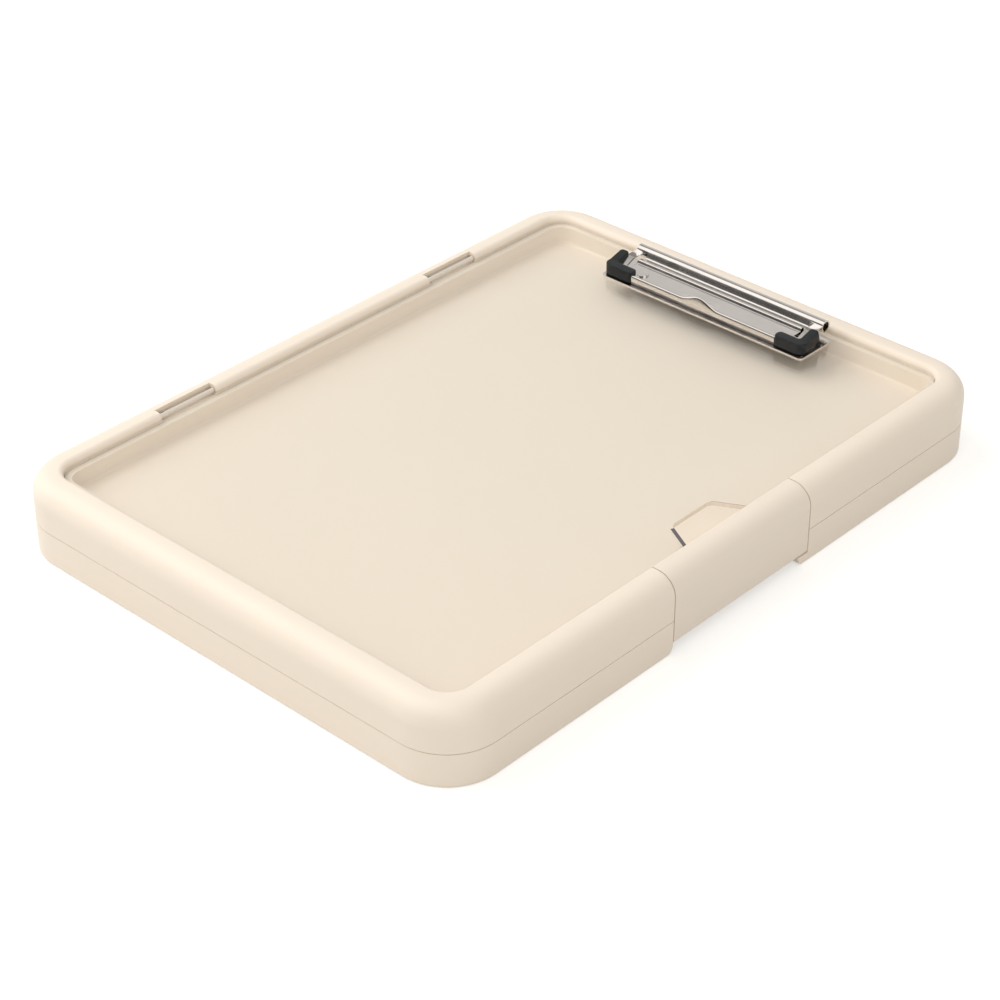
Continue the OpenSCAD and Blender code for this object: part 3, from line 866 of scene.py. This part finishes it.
class CLIPBOX_OT_lid(bpy.types.Operator):
    """Give the writing lid its clear plastic, its cut edges and painted shade on its
    notch end
    """

    bl_idname = "clipbox.lid"
    bl_label = "Finish lid"

    def execute(self, context):
        lid = context.scene.clipbox_lid
        form = merged_copy("lid_panel")
        self.mark_cut_edges(form, lid)
        near_end = self.near_end(form, lid)
        for facing in (1, -1):
            self.round_notch_end(form, lid, facing)
        self.paint_shade_beside(form, *near_end, lid.notch_shade_band)
        own_piece(
            "writing_lid",
            form,
            "lid",
            "clear_plastic",
            ["lid_panel"],
            # The cut edges and the notch's end get opaque colours of painted shade.
            clear_plastic("clear lid plastic", tuple(lid.tint) + (1.0,)),
            edge_plastic("cut lid edge painted shade", lid.painted_edge_colour, 0.3),
            edge_plastic("notch painted shade", lid.notch_shade_colour, 0.2),
        )
        return {"FINISHED"}

    def mark_cut_edges(self, form, lid):
        """Gives the sides of the sheet their material, and the notch's near end its
        painted shade.
        """
        for face in form.faces:
            face.material_index = SHEET if abs(face.normal.z) >= LIES_FLAT else CUT_EDGE
            middle = face.calc_center_median()
            in_notch = middle.x > lid.notch_from and abs(middle.y) < NOTCH_SPAN
            if in_notch and face.normal.y > FACES_THAT_WAY:
                face.material_index = NOTCH_SHADE

    def near_end(self, form, lid):
        """Inner and outer end of the long upper edge at the notch's near end."""
        edge = next(
            edge
            for edge in rim_edges(form, 1)
            if min(vert.co.x for vert in edge.verts) > lid.notch_from
            and max(vert.co.y for vert in edge.verts) < 0
            and edge.calc_length() > 10 * MM
        )
        places = (vert.co.copy() for vert in edge.verts)
        return sorted(places, key=lambda place: place.x)

    def round_notch_end(self, form, lid, facing):
        """Rounds the upper edges of one end of the notch: facing is 1 for the near
        end and -1 for the far one. The short edges at the notch's corners leave
        room for less than a tenth of a millimetre."""
        form.normal_update()
        ends = [
            edge
            for edge in rim_edges(form, 1)
            if min(vert.co.x for vert in edge.verts) > lid.notch_from
            and max(abs(vert.co.y) for vert in edge.verts) < NOTCH_SPAN
            and any(face.normal.y * facing > FACES_THAT_WAY for face in edge.link_faces)
        ]
        # The new rounded faces take the notch's painted shade.
        for face in round_edges(form, ends, lid.notch_rounding, segments=2):
            face.material_index = NOTCH_SHADE

    def paint_shade_beside(self, form, inner, outer, width):
        """Paints the top beside an edge with painted shade, a dark band that stands for
        the shade seen through the clear sheet there."""
        along = (outer - inner).normalized()
        aside = along.cross(Vector((0, 0, 1)))
        for place, facing in ((inner + aside * width, aside), (inner, along)):
            tops = self.level_faces(form, inner.z)
            edges = dict.fromkeys(edge for face in tops for edge in face.edges)
            verts = dict.fromkeys(vert for face in tops for vert in face.verts)
            bmesh.ops.bisect_plane(
                form,
                geom=[*verts, *edges, *tops],
                dist=CUT_WITHIN,
                plane_co=place,
                plane_no=facing,
            )
            form.normal_update()
        for face in self.level_faces(form, inner.z):
            middle = face.calc_center_median() - inner
            if 0 < middle.dot(aside) < width and middle.dot(along) > 0:
                face.material_index = NOTCH_SHADE

    def level_faces(self, form, height):
        """Flat faces that look up at one height."""
        return [
            face
            for face in form.faces
            if face.normal.z > LIES_FLAT
            and abs(face.calc_center_median().z - height) < LEVEL_WITHIN
        ]


class CLIPBOX_OT_clip(bpy.types.Operator):
    """Plate the clip's base, and press its jaw from plated sheet"""

    bl_idname = "clipbox.clip"
    bl_label = "Finish clip"

    def execute(self, context):
        clip = context.scene.clipbox_clip
        plating = plated_metal("bright clip plating", clip.plating, (0.02, 1, 1), 0.16)
        dress(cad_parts["clip_base"], plating)
        piece = own_piece(
            "pressed_jaw", self.jaw(clip), "jaw", "nickel_plate", ["clip_jaw"], plating
        )
        piece.data.set_sharp_from_angle(angle=SHARP_FROM)
        return {"FINISHED"}

    def jaw(self, clip):
        """The CAD's straps and flanges, with a bent plate and its stamp between."""
        low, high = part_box("clip_jaw")
        middle = (low.x + high.x) / 2
        whole = bmesh.new()
        for side in (-1, 1):
            strap = merged_copy("clip_jaw")
            keep_side(strap, (middle + side * clip.plate_half, 0, 0), (side, 0, 0))
            self.add(whole, strap)
        self.add_flanges(whole, clip, low, high, middle)
        self.add(whole, self.plate(clip, low, high, middle))
        self.add(whole, self.stamp(clip, low, middle))
        for face in whole.faces:
            face.smooth = True
        return whole

    def add(self, whole, part):
        """Adds a closed part to a form and frees it."""
        mesh = bpy.data.meshes.new("part")
        part.to_mesh(mesh)
        part.free()
        whole.from_mesh(mesh)
        bpy.data.meshes.remove(mesh)

    def add_flanges(self, whole, clip, low, high, middle):
        """Adds what hangs under the plate at its two ends and runs on the axle."""
        flange_width = 3 * MM
        flange_front = low.y + 12 * MM
        flange_rear = high.y - 6.5 * MM
        under_plate = low.z + clip.lip_height - clip.sheet
        under = merged_copy("clip_jaw")
        keep_side(under, (0, 0, under_plate), (0, 0, -1))
        keep_side(under, (0, flange_front, 0), (0, 1, 0))
        keep_side(under, (0, flange_rear, 0), (0, -1, 0))
        for side in (-1, 1):
            flange = under.copy()
            inner = clip.plate_half - flange_width
            keep_side(flange, (middle + side * inner, 0, 0), (side, 0, 0))
            keep_side(flange, (middle + side * clip.plate_half, 0, 0), (-side, 0, 0))
            self.add(whole, flange)
        under.free()

    def plate(self, clip, low, high, middle):
        """Bent sheet from the lip over the ridge to the rolled lever."""
        form = bmesh.new()
        plate_z = low.z + clip.lip_height
        self.draw_section(form, clip, low, high, middle - clip.plate_half)
        pulled = bmesh.ops.extrude_edge_only(form, edges=form.edges[:])
        ends = only(bmesh.types.BMVert, pulled["geom"])
        bmesh.ops.translate(form, verts=ends, vec=(2 * clip.plate_half, 0, 0))
        lengthwise = [
            edge
            for edge in form.edges
            if abs(edge.verts[0].co.x - edge.verts[1].co.x) > MM
        ]
        bmesh.ops.subdivide_edges(
            form, edges=lengthwise, cuts=clip.stations, use_grid_fill=True
        )
        beside_lip = [
            face
            for face in form.faces
            if abs(face.calc_center_median().x - middle) > clip.lip_half
            and face.calc_center_median().y < low.y + 1.4 * clip.lip_bend
        ]
        bmesh.ops.delete(form, geom=beside_lip, context="FACES")
        self.raise_arch(form, clip, low.y, plate_z, middle + clip.arch_shift)
        bmesh.ops.recalc_face_normals(form, faces=form.faces[:])
        bmesh.ops.solidify(form, geom=form.faces[:], thickness=clip.sheet)
        bmesh.ops.recalc_face_normals(form, faces=form.faces[:])
        return form

    def draw_section(self, form, clip, low, high, x):
        """Draws the plate's outer line, worked out from its bends: up the lip,
        along the plate, over the ridge, up the slope and round the roll."""
        steep = math.radians(60)
        drop = math.radians(85)
        curl = math.radians(194)
        rise = clip.slope
        foot = 0.35 * MM
        ease = 1.2 * MM
        ridge = clip.ridge_radius
        roll = clip.roll_radius
        plate_z = low.z + clip.lip_height
        ridge_y = low.y + clip.ridge_back
        climb = clip.ridge_height - (foot + ridge) * (1 - math.cos(steep))
        climb /= math.sin(steep)
        toe_y = ridge_y - climb * math.cos(steep) - (foot + ridge) * math.sin(steep)
        fall = clip.ridge_height - (foot + ridge) * (1 - math.cos(drop))
        fall /= math.sin(drop)
        slope_y = high.y - roll - roll * math.sin(rise)
        slope_z = high.z - roll + roll * math.cos(rise)
        run = (slope_z - plate_z - ease * (1 - math.cos(rise))) / math.sin(rise)
        back_y = slope_y - run * math.cos(rise) - ease * math.sin(rise)
        line = SheetBend(form, x, low.y, low.z, math.pi / 2)
        line.ahead(clip.lip_height - clip.lip_bend, 5)
        line.bend(clip.lip_bend, -math.pi / 2, 6)
        line.ahead(clip.arch_run, 10)
        line.ahead(toe_y - line.tip.co.y, 6)
        line.bend(foot, steep, 3)
        line.ahead(climb)
        line.bend(ridge, -steep - drop, 14)
        line.ahead(fall)
        line.bend(foot, drop, 4)
        line.ahead(back_y - line.tip.co.y)
        line.bend(ease, rise, 5)
        line.ahead(run, 3)
        line.bend(roll, -rise - curl, 34)

    def raise_arch(self, form, clip, front, plate_z, arch_middle):
        """Lifts the lip and the plate behind it into an arch. It fades out over the
        lower half of the lip, and to the rear."""
        for vert in form.verts:
            across = abs(vert.co.x - arch_middle) / clip.arch_half
            behind = (vert.co.y - front - clip.lip_bend) / clip.arch_run
            below = (plate_z - vert.co.z) / (0.5 * clip.lip_height)
            if across < 1 and behind < 1 and below < 1:
                swell = 0.5 + 0.5 * math.cos(math.pi * across)
                fade = 1 - max(0.0, behind) ** 1.3
                vert.co.z += clip.arch_height * swell * fade * (1 - max(0.0, below))

    def stamp(self, clip, low, middle):
        """Raised D-shaped stamp beside the left cap."""
        form = bmesh.new()
        x = middle - clip.stamp_side
        flat_side = 0.45 * clip.stamp_radius
        place = (x, low.y + clip.stamp_back, low.z + clip.lip_height)
        bmesh.ops.create_cone(
            form,
            cap_ends=True,
            segments=48,
            radius1=clip.stamp_radius,
            radius2=clip.stamp_radius,
            depth=2 * clip.stamp_height,
            matrix=Matrix.Translation(place),
        )
        keep_side(form, (x - flat_side, 0, 0), (1, 0, 0))
        form.normal_update()
        round_edges(form, rim_edges(form, 1), 0.8 * clip.stamp_height, segments=4)
        return form


class CLIPBOX_OT_caps(bpy.types.Operator):
    """Mould the two rounded black caps on the corners of the jaw"""

    bl_idname = "clipbox.caps"
    bl_label = "Mould jaw caps"

    def execute(self, context):
        clip = context.scene.clipbox_clip
        black = moulded_rubber("black cap plastic", clip.cap_colour)
        for node, side in CAP_NODES.items():
            own_piece(
                node.replace("jaw_cap", "corner_cap"),
                self.cap(clip, node, side),
                "jaw",
                "black_cap",
                [node],
                black,
            )
        return {"FINISHED"}

    def cap(self, clip, node, side):
        """An L of two arms, raised to its height, with the rear end of its side arm
        lifted and slanting. Side is 1 for the right cap and -1 for the left one."""
        low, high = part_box(node)
        if side > 0:
            inner, outer = low.x, high.x
        else:
            inner, outer = high.x, low.x - clip.left_overhang
        arm_x = outer - side * clip.cap_side_width
        arm_y = low.y + clip.cap_front_width
        columns = (inner, arm_x, outer)
        rear = high.y - clip.cap_slant
        rows = (low.y, arm_y, rear)
        form = bmesh.new()
        bmesh.ops.create_grid(form, x_segments=2, y_segments=2, size=1)
        for vert in form.verts:
            vert.co = (columns[round(vert.co.x) + 1], rows[round(vert.co.y) + 1], low.z)
        between_arms = [
            face
            for face in form.faces
            if abs(face.calc_center_median().x - outer) > clip.cap_side_width
            and face.calc_center_median().y > arm_y
        ]
        bmesh.ops.delete(form, geom=between_arms, context="FACES")
        raised = bmesh.ops.extrude_face_region(form, geom=form.faces[:])
        tops = only(bmesh.types.BMVert, raised["geom"])
        height = high.z - low.z - clip.cap_rise
        bmesh.ops.translate(form, verts=tops, vec=(0, 0, height))
        for vert in form.verts:
            if vert.co.y > arm_y + MM:
                vert.co.z += clip.cap_rise
                if vert not in tops:
                    vert.co.y += clip.cap_slant
                    vert.co.z += clip.cap_slant / 2
        bmesh.ops.recalc_face_normals(form, faces=form.faces[:])
        for x, y, radius, segments in (
            (outer, low.y, clip.cap_corner, 7),
            (inner, low.y, clip.cap_end_radius, 5),
            (inner, arm_y, clip.cap_end_radius, 5),
            (arm_x, arm_y, clip.cap_end_radius * 0.6, 4),
            (arm_x, rear, clip.cap_end_radius * 0.7, 5),
            (outer, rear, clip.cap_end_radius * 0.8, 5),
        ):
            round_edges(form, upright_edges(form, x, y), radius, segments)
        for upward, share, segments in ((1, 1.0, 5), (-1, 0.4, 3)):
            form.normal_update()
            edges = rim_edges(form, upward)
            round_edges(form, edges, clip.cap_rounding * share, segments)
        for face in form.faces:
            face.smooth = True
        return form


class CLIPBOX_OT_pins(bpy.types.Operator):
    """Give pins, spring, rivets and washers their steel"""

    bl_idname = "clipbox.pins"
    bl_label = "Finish pins and rivets"

    def execute(self, context):
        clip = context.scene.clipbox_clip
        steel = plated_metal("drawn steel", clip.steel, (1, 0.05, 1), 0.3, 0.1)
        for node in PIN_NODES:
            dress(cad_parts[node], steel)
        form = merged_copy("clip_spring")
        wire = own_piece("torsion_spring", form, None, "steel", ["clip_spring"], steel)
        wire.data.set_sharp_from_angle(angle=SHARP_FROM)
        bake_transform(wire)
        colour = tone(clip.steel, 1.15)
        plating = plated_metal("rivet plating", colour, (1, 1, 1), 0.24, 0.1)
        for node in RIVET_NODES:
            dress(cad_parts[node], plating)
        return {"FINISHED"}


class CLIPBOX_OT_stage(bpy.types.Operator):
    """Set up the pale floor, the soft studio light and the camera"""

    bl_idname = "clipbox.stage"
    bl_label = "Set up stage"

    def execute(self, context):
        settings = context.scene.clipbox_stage
        context.scene.view_settings.view_transform = "Standard"
        self.floor()
        self.sky(context.scene, settings)
        self.lamp("key lamp", KEY_LAMP_PLACE, KEY_LAMP_SIZE, settings.key_power)
        self.lamp("fill lamp", FILL_LAMP_PLACE, FILL_LAMP_SIZE, settings.fill_power)
        self.camera(context.scene, settings)
        return {"FINISHED"}

    def floor(self):
        """A matt floor that takes the shadow and is lifted to white where it is
        seen, mirrored or looked at through the lid."""
        mesh = bpy.data.meshes.new("floor")
        form = bmesh.new()
        bmesh.ops.create_grid(form, x_segments=1, y_segments=1, size=FLOOR_HALF)
        form.to_mesh(mesh)
        form.free()
        floor = bpy.data.objects.new("floor", mesh)
        bpy.context.scene.collection.objects.link(floor)
        finish = new_finish("pale floor")
        matt = finish.node("ShaderNodeBsdfDiffuse", None, {"Color": FLOOR_COLOUR})
        seen = finish.ray("Camera") + finish.ray("Glossy") + finish.ray("Transmission")
        lift = finish.node(
            "ShaderNodeEmission",
            None,
            {"Color": WHITE, "Strength": seen.clamped() * FLOOR_LIFT},
        )
        finish.show(finish.node("ShaderNodeAddShader", None, {0: matt, 1: lift}))
        dress(floor, finish.holder)

    def sky(self, scene, settings):
        """White where the camera sees it, even light on the case, and bands of
        light and dark for what mirrors it."""
        world = bpy.data.worlds.new("studio")
        scene.world = world
        finish = Finish(world)
        seen = finish.ray("Camera")
        mirrored = finish.ray("Glossy")
        direction = finish.node("ShaderNodeTexCoord", output="Generated")
        depth = finish.node(
            "ShaderNodeVectorMath",
            {"operation": "DOT_PRODUCT"},
            {0: direction, 1: (0.0, 0.5, 0.0)},
            output="Value",
        )
        stops = [(place, (level, level, level, 1)) for place, level in STUDIO_BANDS]
        bands = finish.node(
            "ShaderNodeValToRGB", {"stops": stops}, {"Fac": depth + 0.5}
        )
        strength = seen * (1 - settings.sky_strength) + settings.sky_strength
        strength = strength + mirrored * (bands * MIRRORED_GAIN - settings.sky_strength)
        colour = finish.blend(seen, WARM_SKY, WHITE)
        studio = {"Color": colour, "Strength": strength}
        finish.show(finish.node("ShaderNodeBackground", None, studio))

    def lamp(self, name, place, size, power):
        """A round lamp that looks at the case and isn't mirrored in it."""
        light = bpy.data.lights.new(name, "AREA")
        light.shape = "DISK"
        light.size = size
        light.energy = power
        lamp = bpy.data.objects.new(name, light)
        bpy.context.scene.collection.objects.link(lamp)
        lamp.location = place
        lamp.rotation_euler = (-Vector(place)).to_track_quat("-Z", "Y").to_euler()
        lamp.visible_glossy = False

    def camera(self, scene, settings):
        data = bpy.data.cameras.new("camera")
        data.lens = settings.lens
        data.sensor_width = SENSOR_WIDTH
        data.clip_start = CAMERA_CLIP_START
        camera = bpy.data.objects.new("camera", data)
        scene.collection.objects.link(camera)
        azimuth, elevation = settings.camera_azimuth, settings.camera_elevation
        level = math.cos(elevation)
        away = Vector(
            (math.sin(azimuth) * level, -math.cos(azimuth) * level, math.sin(elevation))
        )
        target = Vector(settings.camera_target)
        camera.location = target + away * settings.camera_distance
        camera.rotation_euler = (-away).to_track_quat("-Z", "Y").to_euler()
        scene.camera = camera


class CLIPBOX_PT_panel(bpy.types.Panel):
    """Lists the settings and the steps"""

    bl_idname = "CLIPBOX_PT_panel"
    bl_label = "Storage clipboard box"
    bl_space_type = "VIEW_3D"
    bl_region_type = "UI"
    bl_category = "Clipboard box"

    def draw(self, context):
        for group in GROUPS:
            settings = getattr(context.scene, group)
            for name in settings.__annotations__:
                self.layout.prop(settings, name)
        for step in STEPS:
            self.layout.operator(step.bl_idname)


GROUPS = {
    "clipbox_case": CaseSettings,
    "clipbox_lid": LidSettings,
    "clipbox_clip": ClipSettings,
    "clipbox_stage": StageSettings,
}
STEPS = (
    CLIPBOX_OT_shells,
    CLIPBOX_OT_latch,
    CLIPBOX_OT_lid,
    CLIPBOX_OT_clip,
    CLIPBOX_OT_caps,
    CLIPBOX_OT_pins,
    CLIPBOX_OT_stage,
)


def register():
    for group, settings in GROUPS.items():
        bpy.utils.register_class(settings)
        setattr(bpy.types.Scene, group, bpy.props.PointerProperty(type=settings))
    for step in STEPS:
        bpy.utils.register_class(step)
    bpy.utils.register_class(CLIPBOX_PT_panel)


def unregister():
    bpy.utils.unregister_class(CLIPBOX_PT_panel)
    for step in reversed(STEPS):
        bpy.utils.unregister_class(step)
    for group, settings in reversed(GROUPS.items()):
        delattr(bpy.types.Scene, group)
        bpy.utils.unregister_class(settings)


def main():
    register()
    for step in STEPS:
        family, action = step.bl_idname.split(".")
        getattr(getattr(bpy.ops, family), action)()


if __name__ == "__main__":
    main()
